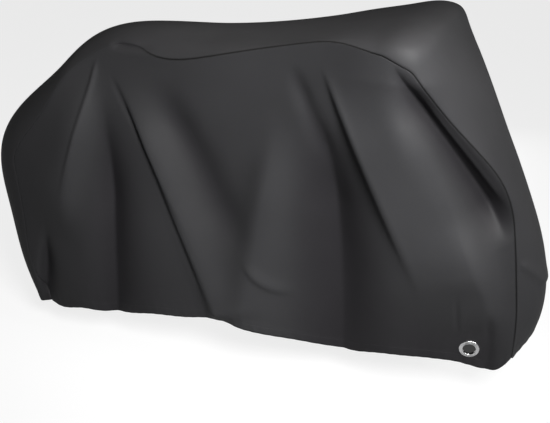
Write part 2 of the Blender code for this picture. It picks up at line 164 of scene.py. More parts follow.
# x, half width at each of these heights
WIDTHS = np.array([
    (-0.32, 0.100, 0.115, 0.120, 0.100),
    (-0.05, 0.130, 0.145, 0.145, 0.115),
    ( 0.18, 0.165, 0.172, 0.152, 0.120),
    ( 0.45, 0.170, 0.175, 0.168, 0.158),
    ( 0.72, 0.172, 0.190, 0.205, 0.205),
    ( 0.92, 0.158, 0.200, 0.248, 0.275),
    ( 1.06, 0.168, 0.204, 0.256, 0.318),
    ( 1.20, 0.146, 0.170, 0.208, 0.275),
    ( 1.46, 0.100, 0.108, 0.130, 0.200),
])


def body_width(x, z):
    return (spline_weights(HEIGHTS, z) * smooth(WIDTHS[:, 0], WIDTHS[:, 1:], x)).sum(1)


print("half width over the bar %.3f m" % body_width(np.array([1.06]), np.array([1.0]))[0])

# %% [markdown]
# ## Folds
# Folds fan out from where the cloth hangs: the saddle's corner and the end of the handlebar. Each
# one is a bent line with a bell-shaped section, steeper on one flank than on the other, which is
# what makes hung cloth look like cloth. A negative height is a trough. "Edge" is how round the
# line itself is: 2 is a soft roll, and towards 1 it is a crease.

# %% Where the folds lie
# fold, x0, z0, x1, z1, x2, z2, front0, rear0, front1, rear1, height, fade in, fade out, edge
FOLDS_RIGHT = [
    ("rear_edge", 0.144, 0.953, 0.097, 0.776, -0.031, 0.375, 0.03, 0.06, 0.06, 0.12, 0.03, 0.4, 0.3, 2),
    ("rear_valley", 0.17, 0.876, 0.171, 0.578, 0.148, 0.168, 0.04, 0.034, 0.105, 0.056, -0.052, 0.5, 0.0, 1.4),
    ("saddle_crest", 0.204, 0.919, 0.345, 0.676, 0.539, 0.2, 0.045, 0.01, 0.085, 0.03, 0.024, 0.3, 0.05, 1.7),
    ("middle_trough", 0.315, 0.924, 0.472, 0.708, 0.604, 0.415, 0.046, 0.044, 0.065, 0.07, -0.018, 0.3, 0.3, 2),
    ("middle_valley", 0.838, 0.919, 0.884, 0.661, 0.898, 0.184, 0.04, 0.1, 0.13, 0.115, -0.063, 0.4, 0.0, 1.4),
    ("middle_ridge", 0.741, 0.887, 0.677, 0.576, 0.611, 0.187, 0.06, 0.04, 0.15, 0.07, 0.03, 0.4, 0.0, 2),
    ("bar_ridge", 1.031, 1.013, 1.169, 0.734, 1.307, 0.361, 0.04, 0.06, 0.04, 0.18, 0.038, 0.3, 0.2, 1.8),
    ("bar_heel", 1.218, 0.675, 1.282, 0.468, 1.31, 0.264, 0.03, 0.11, 0.036, 0.13, 0.024, 0.4, 0.3, 1.8),
    ("stem_crest", 0.857, 1.019, 0.959, 0.835, 1.178, 0.334, 0.06, 0.01, 0.09, 0.05, 0.022, 0.3, 0.5, 1.7),
    ("stem_trough", 0.752, 1.014, 0.818, 0.905, 0.882, 0.731, 0.02, 0.024, 0.03, 0.034, -0.009, 0.3, 0.35, 2),
    ("bar_trough", 1.053, 1.048, 1.167, 0.847, 1.349, 0.558, 0.018, 0.05, 0.044, 0.06, -0.046, 0.25, 0.25, 1.8),
    ("low_tuck", 1.002, 0.164, 1.193, 0.167, 1.382, 0.178, 0.13, 0.1, 0.16, 0.1, -0.022, 0.4, 0.3, 1.8),
    ("corner_fold", 1.304, 0.367, 1.315, 0.291, 1.317, 0.178, 0.01, 0.01, 0.014, 0.012, -0.006, 0.4, 0.0, 2),
    ("rear_notch", -0.063, 0.432, -0.105, 0.301, -0.137, 0.135, 0.016, 0.01, 0.07, 0.016, -0.03, 0.6, 0.0, 1.6),
    ("rear_crease", 0.147, 0.968, 0.105, 0.807, 0.003, 0.503, 0.01, 0.004, 0.016, 0.006, 0.006, 0.1, 0.4, 2),
    ("saddle_crease", 0.187, 0.929, 0.325, 0.674, 0.491, 0.253, 0.004, 0.006, 0.006, 0.01, -0.005, 0.1, 0.2, 1.8),
    ("saddle_second", 0.207, 0.896, 0.344, 0.655, 0.489, 0.361, 0.004, 0.004, 0.005, 0.005, -0.003, 0.2, 0.4, 2),
    ("stem_crease", 0.851, 1.023, 0.946, 0.832, 1.151, 0.359, 0.016, 0.007, 0.024, 0.012, 0.008, 0.15, 0.4, 1.6),
    ("bar_crease", 1.044, 1.052, 1.163, 0.847, 1.345, 0.558, 0.008, 0.016, 0.012, 0.026, -0.01, 0.1, 0.25, 1.5),
    ("saddle_dent", 0.185, 1.008, 0.263, 1.005, 0.356, 1.0, 0.016, 0.01, 0.014, 0.008, -0.01, 0.25, 0.35, 1.7),
    ("middle_hook", 0.617, 0.437, 0.678, 0.367, 0.787, 0.339, 0.03, 0.007, 0.03, 0.01, 0.007, 0.35, 0.4, 2),
    ("bar_pleat", 1.088, 1.008, 1.205, 0.832, 1.333, 0.656, 0.006, 0.006, 0.008, 0.008, 0.004, 0.25, 0.25, 2),
    ("eyelet_fold", 1.226, 0.432, 1.227, 0.349, 1.234, 0.251, 0.006, 0.005, 0.005, 0.004, -0.004, 0.5, 0.4, 2),
]
FOLDS_LEFT = [
    ("rear_edge", 0.138, 0.955, 0.088, 0.772, -0.034, 0.372, 0.03, 0.06, 0.06, 0.11, 0.026, 0.4, 0.3, 2),
    ("rear_valley", 0.16, 0.88, 0.152, 0.58, 0.12, 0.17, 0.04, 0.034, 0.095, 0.05, -0.044, 0.5, 0.0, 1.4),
    ("saddle_crest", 0.214, 0.915, 0.338, 0.67, 0.5, 0.2, 0.045, 0.012, 0.08, 0.032, 0.022, 0.3, 0.05, 1.7),
    ("middle_trough", 0.33, 0.93, 0.47, 0.7, 0.62, 0.38, 0.046, 0.044, 0.06, 0.064, -0.022, 0.3, 0.3, 2),
    ("middle_valley", 0.83, 0.93, 0.868, 0.66, 0.872, 0.19, 0.04, 0.1, 0.12, 0.1, -0.052, 0.4, 0.0, 1.4),
    ("middle_ridge", 0.7, 0.9, 0.66, 0.56, 0.6, 0.2, 0.06, 0.04, 0.13, 0.07, 0.026, 0.4, 0.0, 2),
    ("bar_ridge", 1.03, 1.0, 1.15, 0.72, 1.28, 0.34, 0.04, 0.06, 0.04, 0.16, 0.03, 0.3, 0.1, 1.8),
    ("stem_crest", 0.865, 1.02, 0.97, 0.8, 1.15, 0.34, 0.06, 0.012, 0.1, 0.05, 0.018, 0.3, 0.25, 1.7),
    ("bar_trough", 1.06, 1.04, 1.175, 0.84, 1.345, 0.55, 0.018, 0.045, 0.04, 0.055, -0.038, 0.25, 0.25, 1.8),
    ("low_tuck", 1.0, 0.16, 1.19, 0.164, 1.38, 0.182, 0.12, 0.1, 0.15, 0.1, -0.028, 0.4, 0.3, 1.8),
    ("corner_fold", 1.304, 0.36, 1.318, 0.28, 1.318, 0.18, 0.012, 0.012, 0.016, 0.014, -0.007, 0.4, 0.0, 2),
    ("rear_notch", -0.06, 0.43, -0.098, 0.3, -0.126, 0.135, 0.016, 0.012, 0.06, 0.018, -0.024, 0.6, 0.0, 1.6),
    ("saddle_crease", 0.2, 0.925, 0.325, 0.672, 0.478, 0.25, 0.004, 0.006, 0.006, 0.01, -0.007, 0.1, 0.2, 2),
    ("stem_crease", 0.862, 1.014, 0.966, 0.802, 1.14, 0.352, 0.005, 0.007, 0.006, 0.01, -0.009, 0.15, 0.4, 2),
    ("bar_pleat", 1.08, 1.02, 1.205, 0.82, 1.33, 0.64, 0.006, 0.006, 0.008, 0.008, 0.004, 0.2, 0.25, 2),
]
# The few on the spine panel, in the same side view.
SPINE_FOLDS = [
    ("front_pleat", 1.365, 0.5, 1.4, 0.476, 1.447, 0.409, 0.012, 0.006, 0.014, 0.006, 0.006, 0.2, 0.1, 1.7),
    ("stem_slack", 0.31, 1.032, 0.61, 1.064, 0.981, 1.116, 0.03, 0.02, 0.03, 0.02, -0.006, 0.3, 0.3, 2),
]


def ramp(value):
    value = np.clip(value, 0.0, 1.0)
    return value * value * (3 - 2 * value)


def unit(vectors):
    return vectors / np.linalg.norm(vectors, axis=-1, keepdims=True)


def fold_height(x, z, folds):
    """How far the folds lift the cloth at each place in the side view."""
    spots, total = np.stack([x, z], axis=1), np.zeros(len(x))
    t = np.linspace(0.0, 1.0, 41)[:, None]
    for row in folds:
        start, middle, end = np.array(row[1:7]).reshape(3, 2)
        front0, rear0, front1, rear1, height, fade_in, fade_out, edge = row[7:]
        pull = 2 * middle - (start + end) / 2
        line = (1 - t) ** 2 * start + 2 * t * (1 - t) * pull + t ** 2 * end
        run, along = run_length(line), unit(np.gradient(line, axis=0))
        near = ((spots[:, None] - line[None]) ** 2).sum(-1).argmin(axis=1)
        off = spots - line[near]
        share = (run[near] + (off * along[near]).sum(1)) / run[-1]
        across = along[near, 0] * off[:, 1] - along[near, 1] * off[:, 0]
        part = np.clip(share, 0.0, 1.0)
        spread = np.where(across > 0, front0 + (front1 - front0) * part, rear0 + (rear1 - rear0) * part)
        fade = ramp(share / fade_in) if fade_in else 1.0
        fade = fade * (ramp((1 - share) / fade_out) if fade_out else 1.0)
        total += height * fade * np.exp(-np.abs(across / spread) ** edge)
    return total


print(len(FOLDS_RIGHT), "folds on the right,", len(FOLDS_LEFT), "on the left")

# %% [markdown]
# ## A metal eyelet holds the cloth flat
# The ring is pressed shut on the cloth, so the cloth is flat under it and puckers a little all
# round. Further out it hangs freely again.

# %% Flatten the cloth at the eyelet
EYELET_X, EYELET_Z = 1.266, 0.221
FLAT_RADIUS, CALM_RADIUS = 0.036, 0.075  # flat within the first, free beyond the second
PUCKERS, PUCKER_HEIGHT = 11, 0.0006
PUCKER_RADIUS, PUCKER_SPREAD = 0.042, 0.012

HEM_RIGHT = [
    (-0.061, 0.119), (0.041, 0.141), (0.121, 0.135), (0.289, 0.176), (0.432, 0.195),
    (0.532, 0.213), (0.582, 0.211), (0.625, 0.205), (0.698, 0.193), (0.780, 0.172),
    (0.927, 0.139), (1.019, 0.171), (1.106, 0.177), (1.189, 0.175), (1.234, 0.171),
    (1.270, 0.163), (1.301, 0.158), (1.331, 0.159),
]
HEM_LEFT = [
    (-0.05, 0.13), (0.05, 0.144), (0.16, 0.158), (0.27, 0.156), (0.42, 0.182),
    (0.56, 0.196), (0.7, 0.182), (0.84, 0.16), (0.98, 0.166), (1.1, 0.166),
    (1.19, 0.168), (1.25, 0.162), (1.3, 0.156), (1.341, 0.163),
]
SIGN = {"right": -1, "left": 1}  # which way is out
HEMS = {"right": HEM_RIGHT, "left": HEM_LEFT}  # x and z along the hem
FOLDS = {"right": FOLDS_RIGHT, "left": FOLDS_LEFT}


def loose_width(x, z, folds):
    return body_width(x, z) + fold_height(x, z, folds)


def eyelet_plane(folds):
    """Half width at the eyelet, and its slope along x and z."""
    d = FLAT_RADIUS
    w = loose_width(EYELET_X + np.array([0.0, d, -d, 0.0, 0.0]),
                    EYELET_Z + np.array([0.0, 0.0, 0.0, d, -d]), folds)
    return w.mean(), (w[1] - w[2]) / (2 * d), (w[3] - w[4]) / (2 * d)


def half_width(x, z, folds):
    """The cloth's distance from the middle plane."""
    level, slope_x, slope_z = eyelet_plane(folds)
    dx, dz = x - EYELET_X, z - EYELET_Z
    radius = np.hypot(dx, dz)
    hold = ramp((CALM_RADIUS - radius) / (CALM_RADIUS - FLAT_RADIUS))
    free = loose_width(x, z, folds)
    pucker = (PUCKER_HEIGHT * np.cos(PUCKERS * np.arctan2(dz, dx))
              * np.exp(-((radius - PUCKER_RADIUS) / PUCKER_SPREAD) ** 2))
    return free + (level + slope_x * dx + slope_z * dz - free) * hold + pucker


print("the right eyelet sits %.4f m out from the middle" % eyelet_plane(FOLDS_RIGHT)[0])

# %% [markdown]
# ## A seam and a hem
# A seam is two edges drawn in by thread, so the cloth dips into a groove a few millimetres wide.
# A hem is the cloth turned up over itself: a band that stands a little proud, with a row of
# stitches near its upper edge that pulls small waves into it.

# %% The groove and the turned-up band
SEAM_DIP, SEAM_SPREAD = 0.0014, 0.0030  # depth and half width of the groove
SEAM_SHARPNESS = 1.3
HEM_BAND, HEM_STEP, HEM_EASE = 0.024, 0.0009, 0.003  # the turned-up band's width, step and slope
DRAWN_DEPTH, DRAWN_SPREAD, DRAWN_INSET = 0.0006, 0.002, 0.003  # the line the stitches draw in
WAVE_HEIGHT, WAVE_LENGTH, WAVE_REACH = 0.0005, 0.034, 0.030
WAVE_DRIFT, WAVE_DRIFT_RATE = 2.1, 9.0  # keeps the waves from being even


def seam_groove(distance):
    return SEAM_DIP * np.exp(-(distance / SEAM_SPREAD) ** SEAM_SHARPNESS)


def hem_lift(distance, along):
    """The band's step, with the stitched line drawn in and small waves between the stitches."""
    step = HEM_STEP * ramp((HEM_BAND + HEM_EASE / 2 - distance) / HEM_EASE)
    drawn = DRAWN_DEPTH * np.exp(-((distance - HEM_BAND + DRAWN_INSET) / DRAWN_SPREAD) ** 2)
    phase = along * 2 * math.pi / WAVE_LENGTH + WAVE_DRIFT * np.sin(along * WAVE_DRIFT_RATE)
    return step - drawn + WAVE_HEIGHT * np.sin(phase) * np.exp(-(distance / WAVE_REACH) ** 2)


print("hem band %.0f mm, seam groove %.1f mm deep" % (HEM_BAND * 1000, SEAM_DIP * 1000))

# %% [markdown]
# ## Grids
# Every panel is a sheet of four-sided faces whose lines follow its edges, with the lines crowded
# where the seam and the hem need them.

# %% Lines of the grids
# Lengths by which a distance from an edge becomes a share of a side panel.
PANEL_WIDE, FRONT_WIDE = 1.62, 1.55
PANEL_TALL, HEM_TALL = 0.92, 0.90
HEM_LINES = np.array([0.0, 0.005, 0.012, 0.018, 0.021, 0.0235, 0.0255, 0.029]) / HEM_TALL
SEAM_LINES = np.array([0.0, 0.0015, 0.0035, 0.006, 0.010])
ACROSS, UP = 280, 112  # columns and rows of a side panel


def crowded(count, start, end):
    """Shares from 0 to 1 with the given steps from either end and even ones between."""
    middle = np.linspace(start[-1], 1 - end[-1], count - len(start) - len(end) + 3)[1:-1]
    return np.concatenate([start, middle, (1 - end)[::-1]])


HEM_SHARES = crowded(ACROSS, SEAM_LINES / PANEL_WIDE, SEAM_LINES / PANEL_WIDE)
SEAM_SHARES = crowded(UP, HEM_LINES, SEAM_LINES / PANEL_TALL)
print(len(HEM_SHARES), "lines along the hem and", len(SEAM_SHARES), "up the seams")

# %% [markdown]
# ## Where a side panel lies
# Its four edges are known: three runs of seam and the hem. Blending them gives a place in the
# side view for every share along the hem and up the seams, and the folds give the way out.

# %% Places on a side panel
def seam_edge(run):
    return on_line(run)[:, 4:6]


def panel_spots(side, u, v):
    """Side view places for shares u along the hem and v up the seams."""
    rear, front = seam_edge(REAR_TO * v), seam_edge(END + (FRONT_FROM - END) * v)
    top = seam_edge(REAR_TO + (FRONT_FROM - REAR_TO) * u)
    corners = [seam_edge(np.full(1, run))[0] for run in (0.0, END, REAR_TO, FRONT_FROM)]
    points = np.vstack([corners[0], HEMS[side], corners[1]])
    run = run_length(points)
    low = smooth(run, points, run[-1] * u)
    tall, wide = np.linalg.norm(top - low, axis=1), np.linalg.norm(front - rear, axis=1)
    u, v = u[:, None], v[:, None]
    spots = ((1 - u) * rear + u * front + (1 - v) * low + v * top
             - (1 - u) * (1 - v) * corners[0] - u * (1 - v) * corners[1]
             - (1 - u) * v * corners[2] - u * v * corners[3])
    return spots, tall, wide


def side_surface(side, u, v):
    """Side view places, distances from the seam and distances out from the middle plane."""
    spots, tall, wide = panel_spots(side, u, v)
    edge = np.minimum((1 - v) * tall, np.minimum(u, 1 - u) * wide)
    out = (half_width(spots[:, 0], spots[:, 1], FOLDS[side]) - seam_groove(edge)
           + hem_lift(v * tall, u * PANEL_WIDE))
    return spots, edge, out


def stood_out(side, spots, out):
    """Places in the frame for side view places and distances out."""
    return np.stack([spots[:, 0], SIGN[side] * out, spots[:, 1]], axis=1) - ORIGIN


lowest = side_surface("right", np.linspace(0, 1, 200), np.zeros(200))[0][:, 1].min()
print("the right hem is %.3f m above the ground at its lowest" % lowest)

# %% [markdown]
# ## From places to a panel
# A grid takes the places, and two masks that the cloth's material reads: painted shade in the
# troughs and painted highlight on the ridges of the folds, and painted shade in the seams. Its UV map
# is in metres, so that one weave fits all three panels. Solidify gives it its wall, inwards from the face.

# %% Make a panel's mesh
def grid_object(name, places, uv, masks, turned):
    """A panel from its places, a row of columns at a time, with a UV map and named masks."""
    rows, columns = places.shape[:2]
    sheet = bmesh.new()
    bmesh.ops.create_grid(sheet, x_segments=columns - 1, y_segments=rows - 1, size=0.5)
    i = np.array([round((v.co.x + 0.5) * (columns - 1)) for v in sheet.verts])
    j = np.array([round((v.co.y + 0.5) * (rows - 1)) for v in sheet.verts])
    for vert, spot in zip(sheet.verts, places[j, i]):
        vert.co = spot
    layer = sheet.loops.layers.uv.new("cut")
    flat = uv[j, i]
    for face in sheet.faces:
        for loop in face.loops:
            loop[layer].uv = flat[loop.vert.index]
    if turned:
        bmesh.ops.reverse_faces(sheet, faces=sheet.faces)
    mesh = bpy.data.meshes.new(name)
    sheet.to_mesh(mesh)
    sheet.free()
    for label, mask in masks.items():
        mesh.attributes.new(label, "FLOAT", "POINT").data.foreach_set("value", mask[j, i].astype(np.float32))
    mesh.shade_smooth()
    print(name, len(mesh.polygons), "faces")
    return in_scene(name, mesh)


def give_wall(piece):
    wall = piece.modifiers.new("wall", "SOLIDIFY")
    wall.thickness, wall.offset, wall.use_quality_normals = CLOTH, -1.0, True
    wall.material_offset = wall.material_offset_rim = 1


print("every wall is %.1f mm thick" % (CLOTH * 1000))

# %% [markdown]
# ## Shader groups
# Two effects are used by more than one material, so each is a group with named inputs: the
# weave's relief, and the uneven tone that handling and dust leave.

# %% Helpers for groups
def group(name, inputs, outputs):
    tree = bpy.data.node_groups.new(name, "ShaderNodeTree")
    for label, kind, value in inputs:
        socket = tree.interface.new_socket(label, in_out="INPUT", socket_type=kind)
        if value is not None:
            socket.default_value = value
    for label, kind in outputs:
        tree.interface.new_socket(label, in_out="OUTPUT", socket_type=kind)
    return tree, tree.nodes.new("NodeGroupInput"), tree.nodes.new("NodeGroupOutput")


def math_node(tree, operation, a, b=None, clamp=False):
    node = tree.nodes.new("ShaderNodeMath")
    node.operation, node.use_clamp = operation, clamp
    for socket, value in zip(node.inputs, (a, b)):
        if value is None:
            continue
        if isinstance(value, (int, float)):
            socket.default_value = value
        else:
            tree.links.new(value, socket)
    return node.outputs[0]


print("two helpers for groups")

# %% [markdown]
# ## A plain weave
# Each thread is half a sine wave across. Where the counts of warp and weft add up to an odd
# number the warp lies on top, and elsewhere the weft.

# %% The weave
def weave_group():
    """Warp and weft threads that pass over and under each other, from a map in metres."""
    tree, given, put = group(
        "weave relief",
        [("Map", "NodeSocketVector", None), ("Thread", "NodeSocketFloat", 0.0008),
         ("Relief", "NodeSocketFloat", 1.0)],
        [("Height", "NodeSocketFloat")])
    split = tree.nodes.new("ShaderNodeSeparateXYZ")
    tree.links.new(given.outputs["Map"], split.inputs[0])
    turns = [math_node(tree, "DIVIDE", split.outputs[k], given.outputs["Thread"]) for k in (0, 1)]
    bumps = [math_node(tree, "SINE", math_node(tree, "MULTIPLY", turn, math.pi)) for turn in turns]
    bumps = [math_node(tree, "ABSOLUTE", bump) for bump in bumps]
    count = math_node(tree, "ADD", *(math_node(tree, "FLOOR", turn) for turn in turns))
    odd = math_node(tree, "ABSOLUTE", math_node(tree, "MODULO", count, 2.0))
    warp = math_node(tree, "MULTIPLY", bumps[0], odd)
    weft = math_node(tree, "MULTIPLY", bumps[1], math_node(tree, "SUBTRACT", 1.0, odd))
    height = math_node(tree, "MULTIPLY", math_node(tree, "ADD", warp, weft), given.outputs["Relief"])
    tree.links.new(height, put.inputs["Height"])
    return tree


WEAVE = weave_group()
print("shader group:", WEAVE.name)

# %% [markdown]
# ## Uneven tone
# Noise at three scales: broad clouds and fine specks for the tone, and a ripple between them for
# slack cloth. Dust gathers where the surface faces up.

# %% The tone
NOISES = ((3.2, 3.0), (170.0, 2.0), (14.0, 2.0))  # scale and detail of clouds, specks and ripple


def tone_group():
    """Uneven tone: broad clouds, fine specks, and a little dust on what faces up."""
    tree, given, put = group(
        "uneven tone",
        [("Dust", "NodeSocketFloat", 0.3), ("Seed", "NodeSocketFloat", 0.0)],
        [(label, "NodeSocketFloat") for label in ("Tone", "Dust", "Ripple")])
    spot = tree.nodes.new("ShaderNodeTexCoord")
    noises = []
    for scale, detail in NOISES:
        noise = tree.nodes.new("ShaderNodeTexNoise")
        noise.noise_dimensions = "4D"
        noise.inputs["Scale"].default_value, noise.inputs["Detail"].default_value = scale, detail
        tree.links.new(spot.outputs["Object"], noise.inputs["Vector"])
        tree.links.new(given.outputs["Seed"], noise.inputs["W"])
        noises.append(noise.outputs["Fac"])
    broad, fine = math_node(tree, "MULTIPLY", noises[0], 0.75), math_node(tree, "MULTIPLY", noises[1], 0.25)
    tree.links.new(math_node(tree, "ADD", broad, fine), put.inputs["Tone"])
    facing = tree.nodes.new("ShaderNodeNewGeometry")
    split = tree.nodes.new("ShaderNodeSeparateXYZ")
    tree.links.new(facing.outputs["Normal"], split.inputs[0])
    up = math_node(tree, "MAXIMUM", split.outputs["Z"], 0.0)
    lies = math_node(tree, "MULTIPLY", up, given.outputs["Dust"])
    tree.links.new(math_node(tree, "MULTIPLY", lies, noises[0], clamp=True), put.inputs["Dust"])
    tree.links.new(noises[2], put.inputs["Ripple"])
    return tree


TONE = tone_group()
print("shader group:", TONE.name)

# %% [markdown]
# ## Cloth and backing
# The coated cloth is a plain weave under a thin film: satin, nearly black, a touch violet in the
# painted shade of its creases. The inside is the bare weave, greyer and duller. Troughs are painted
# darker, as painted shade, and ridges a little lighter, as painted highlight: the panels carry that mask.

# %% The cloth's two faces
def principled(name, color, roughness, metallic=0.0, specular=0.5):
    made = bpy.data.materials.new(name)
    made.use_nodes = True
    shader = made.node_tree.nodes["Principled BSDF"]
    for label, value in (("Base Color", (*color, 1.0)), ("Roughness", roughness),
                         ("Metallic", metallic), ("Specular IOR Level", specular)):
        shader.inputs[label].default_value = value
    return made, made.node_tree, shader


def placed(tree, which, **values):
    node = tree.nodes.new("ShaderNodeGroup")
    node.node_tree = which
    for label, value in values.items():
        node.inputs[label].default_value = value
    return node


def color_ramp(tree, factor, stops):
    node = tree.nodes.new("ShaderNodeValToRGB")
    tree.links.new(factor, node.inputs[0])
    while len(node.color_ramp.elements) < len(stops):
        node.color_ramp.elements.new(0.5)
    for element, (place, color) in zip(node.color_ramp.elements, stops):
        element.position, element.color = place, (*color, 1.0)
    return node.outputs[0]


def mixed(tree, kind, factor, a, b):
    node = tree.nodes.new("ShaderNodeMix")
    node.data_type, node.blend_type = "RGBA", kind
    for socket, value in ((node.inputs[0], factor), (node.inputs[6], a), (node.inputs[7], b)):
        if isinstance(value, float):
            socket.default_value = value
        elif isinstance(value, tuple):
            socket.default_value = (*value, 1.0)
        else:
            tree.links.new(value, socket)
    return node.outputs[2]


def relief_node(tree, height, distance, strength=1.0):
    node = tree.nodes.new("ShaderNodeBump")
    node.inputs["Distance"].default_value, node.inputs["Strength"].default_value = distance, strength
    tree.links.new(height, node.inputs["Height"])
    return node


# The first colour is painted shade in the seams' grooves; the second is the colour of dust.
GROOVE_SHADE, DUST = (0.004, 0.004, 0.004), (0.16, 0.15, 0.14)
ROUGH_RANGE = 0.06  # how far the tone moves the roughness either way


def woven(name, trough_shade, mid, ridge_highlight, roughness, specular, thread, relief, dust, seed):
    """A woven material: painted shade and highlight from the folds, clouds over it, painted shade in the seams,
    and the weave as relief.
    """
    made, tree, shader = principled(name, mid, roughness, 0.0, specular)
    mask = tree.nodes.new("ShaderNodeAttribute")
    mask.attribute_name = "fold"
    tone = placed(tree, TONE, Dust=dust, Seed=seed)
    # Painted shade in the troughs and painted highlight on the ridges, from the fold mask.
    base = color_ramp(tree, mask.outputs["Fac"], [(0.0, trough_shade), (0.5, mid), (1.0, ridge_highlight)])
    clouds = color_ramp(tree, tone.outputs["Tone"], [(0.30, (0.80,) * 3), (0.70, (1.0,) * 3)])
    base = mixed(tree, "MULTIPLY", 1.0, base, clouds)
    # Painted shade in the grooves of the seams.
    groove_shade = tree.nodes.new("ShaderNodeAttribute")
    groove_shade.attribute_name = "seam"
    base = mixed(tree, "MIX", groove_shade.outputs["Fac"], base, GROOVE_SHADE)
    base = mixed(tree, "MIX", tone.outputs["Dust"], base, DUST)
    tree.links.new(base, shader.inputs["Base Color"])
    uneven = math_node(tree, "MULTIPLY", tone.outputs["Tone"], 2 * ROUGH_RANGE)
    tree.links.new(math_node(tree, "ADD", roughness - ROUGH_RANGE, uneven), shader.inputs["Roughness"])
    cut = tree.nodes.new("ShaderNodeUVMap")
    cut.uv_map = "cut"
    weave = placed(tree, WEAVE, Thread=thread, Relief=relief)
    tree.links.new(cut.outputs[0], weave.inputs["Map"])
    wide = relief_node(tree, tone.outputs["Ripple"], 0.0030, 0.25)
    fine = relief_node(tree, weave.outputs["Height"], 0.00012, 0.5)
    tree.links.new(wide.outputs[0], fine.inputs["Normal"])
    tree.links.new(fine.outputs[0], shader.inputs["Normal"])
    return made


# Each cloth's three colours: painted shade in troughs, the plain cloth, painted highlight on ridges.
CLOTH_FACE = woven("coated_black_cloth",
                   (0.019, 0.018, 0.020), (0.030, 0.0298, 0.0315), (0.038, 0.038, 0.040),
                   roughness=0.52, specular=0.14, thread=0.0008, relief=0.8, dust=0.10, seed=1.0)
CLOTH_BACK = woven("bare_cloth_backing",
                   (0.030, 0.030, 0.031), (0.036, 0.036, 0.037), (0.042, 0.042, 0.043),
                   roughness=0.80, specular=0.12, thread=0.0008, relief=1.6, dust=0.0, seed=4.0)
print("cloth:", CLOTH_FACE.name, "outside and", CLOTH_BACK.name, "inside")

# %% [markdown]
# ## Thread and metal
# The thread's twist is a wave across it. The metal is nearly a mirror, so what shows on it is
# what stands round it, broken up by clouds of handling.

# %% The thread and the plated metal
def thread_material():
    made, tree, shader = principled("black_sewing_thread", (0.030, 0.030, 0.031), 0.62, 0.0, 0.3)
    spot = tree.nodes.new("ShaderNodeTexCoord")
    ply = tree.nodes.new("ShaderNodeTexWave")
    ply.bands_direction = "DIAGONAL"
    ply.inputs["Scale"].default_value = 900.0
    tree.links.new(spot.outputs["Object"], ply.inputs["Vector"])
    tree.links.new(relief_node(tree, ply.outputs["Fac"], 0.0001).outputs[0], shader.inputs["Normal"])
    twist = color_ramp(tree, ply.outputs["Fac"], [(0.2, (0.018, 0.018, 0.019)), (0.8, (0.040, 0.040, 0.042))])
    tree.links.new(twist, shader.inputs["Base Color"])
    return made


def plated_material():
    """Bright plating: nearly a mirror, with clouds of handling and a little dust."""
    made, tree, shader = principled("bright_plated_metal", (0.86, 0.86, 0.87), 0.22, 1.0)
    tone = placed(tree, TONE, Dust=0.5, Seed=7.0)
    clouds = color_ramp(tree, tone.outputs["Tone"], [(0.3, (0.80, 0.80, 0.81)), (0.7, (0.94, 0.94, 0.95))])
    dusty = mixed(tree, "MIX", tone.outputs["Dust"], clouds, (0.30, 0.29, 0.28))
    tree.links.new(dusty, shader.inputs["Base Color"])
    uneven = math_node(tree, "MULTIPLY", tone.outputs["Tone"], 0.14)
    tree.links.new(math_node(tree, "ADD", 0.16, uneven), shader.inputs["Roughness"])
    return made


THREAD, PLATED = thread_material(), plated_material()
print("materials:", THREAD.name, "and", PLATED.name)

# %% [markdown]
# ## The side panels
# Each side is cut in one piece. Its lower front corner carries the eyelet, so the faces under the
# ring are taken out and the edge of the hole is brought onto a circle that the ring hides.

# %% Hang the side panels
FOLD_SHADING_HEIGHT = 0.030  # a trough this deep has most of its painted shade, a ridge this high most of its painted highlight
# Width of the painted shade in a seam's groove.
GROOVE_SHADE_WIDTH = 0.0032
REAR_SEAM_X, REAR_SEAM_EASE = 0.22, 0.16  # the seams' painted shade starts here, and is full so much on
HOLE_RADIUS, RIM_REACH = 0.0212, 0.034  # the hole, and how far off its ragged edge can lie


def painted_fold_shading(height):
    """Painted shade and highlight: 0.5 on the plain cloth, lower in troughs, higher on ridges."""
    return 0.5 + 0.5 * np.tanh(height / FOLD_SHADING_HEIGHT)


def seam_shade_mask(distance, x):
    """Painted shade: 1 in the groove of a seam and 0 beside it; the rear seams get less of it."""
    return np.exp(-(distance / GROOVE_SHADE_WIDTH) ** 2) * ramp((x - REAR_SEAM_X) / REAR_SEAM_EASE)


def side_panel(side):
    u, v = (a.ravel() for a in np.meshgrid(HEM_SHARES, SEAM_SHARES))
    spots, edge, out = side_surface(side, u, v)
    shape = (len(SEAM_SHARES), len(HEM_SHARES))
    uv = np.stack([u * PANEL_WIDE, v * PANEL_TALL], axis=1).reshape(*shape, 2)
    # Masks for painted shade and highlight in the folds, and for painted shade in the seams.
    fold = painted_fold_shading(fold_height(spots[:, 0], spots[:, 1], FOLDS[side])).reshape(shape)
    seam = seam_shade_mask(edge, spots[:, 0]).reshape(shape)
    return grid_object("cover_side_" + side, stood_out(side, spots, out).reshape(*shape, 3), uv,
                       {"fold": fold, "seam": seam}, turned=side == "left")


def punch(piece, side):
    """Opens the hole that the eyelet grips."""
    level, slope_x, slope_z = eyelet_plane(FOLDS[side])
    sheet = bmesh.new()
    sheet.from_mesh(piece.data)
    spot = Vector((EYELET_X - ORIGIN[0], EYELET_Z - ORIGIN[2]))
    away = [f for f in sheet.faces if (f.calc_center_median().xz - spot).length < HOLE_RADIUS]
    bmesh.ops.delete(sheet, geom=away, context="FACES")
    rim = [v for v in sheet.verts if v.is_boundary and (v.co.xz - spot).length < RIM_REACH]
    for vert in rim:
        off = (vert.co.xz - spot).normalized() * HOLE_RADIUS
        out = level + slope_x * off.x + slope_z * off.y
        vert.co = (spot.x + off.x, SIGN[side] * out, spot.y + off.y)
    sheet.to_mesh(piece.data)
    sheet.free()
    print(piece.name, "hole edge", len(rim), "points")


